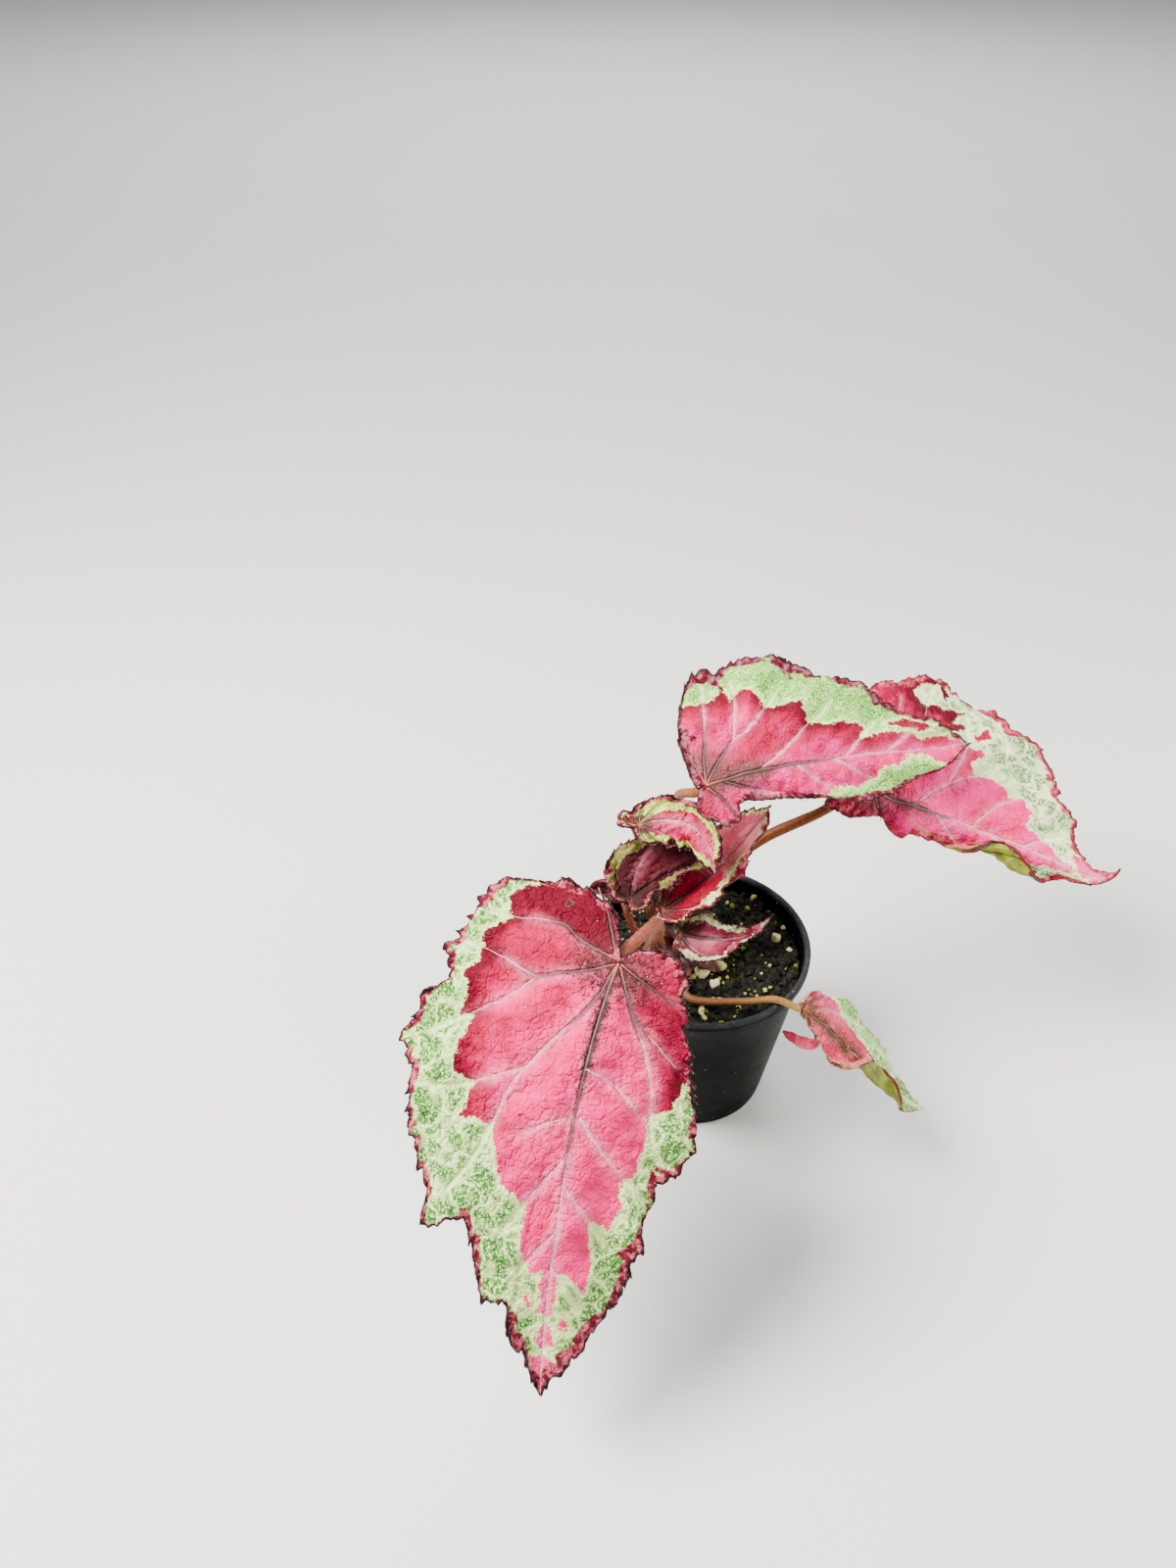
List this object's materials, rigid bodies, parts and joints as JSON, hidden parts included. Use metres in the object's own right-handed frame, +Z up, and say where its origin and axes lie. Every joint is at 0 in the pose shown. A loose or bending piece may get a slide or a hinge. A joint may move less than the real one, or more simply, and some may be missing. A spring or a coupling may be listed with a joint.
{
  "type": "potted plant",
  "caption": "Rex begonia with pink and silver-green toothed leaves and a maroon edge, growing in a small round black nursery pot.",
  "frame": {"origin": "centre of the pot's flat base, on the surface the pot stands on", "axes": "+Z up; the largest leaf hangs over the rim toward -Y; the long upper leaves reach toward +X"},
  "size_m": [0.3089, 0.2837, 0.1986],
  "materials": {
    "pot_plastic": "satin black plastic, dusty near the foot",
    "soil": "damp dark peat with pale pumice and perlite grains",
    "crown_skin": "rough red-brown rhizome skin",
    "stalk": "hairy orange-brown stalk",
    "pink_blade": "pink leaf, silver-green band, maroon edge, lime-green underside",
    "dusky_blade": "dusky pink young leaf with a pale green edge",
    "crimson_blade": "crimson young leaf with a silver-green band",
    "young_blade": "dark red hairy young leaf"
  },
  "bodies": {
    "root": {"pot": "pot_plastic", "soil": "soil", "crown": "crown_skin", "front_leaf": "pink_blade", "front_petiole": "stalk", "upper_leaf": "pink_blade", "upper_petiole": "stalk", "right_leaf": "pink_blade", "right_petiole": "stalk", "curled_leaf": "pink_blade", "curled_petiole": "stalk", "shaded_leaf": "dusky_blade", "shaded_petiole": "stalk", "upright_leaf": "crimson_blade", "upright_petiole": "stalk", "low_leaf": "dusky_blade", "low_petiole": "stalk", "trailing_leaf": "pink_blade", "trailing_petiole": "stalk", "young_leaf": "young_blade", "young_petiole": "stalk"}
  },
  "joints": []
}
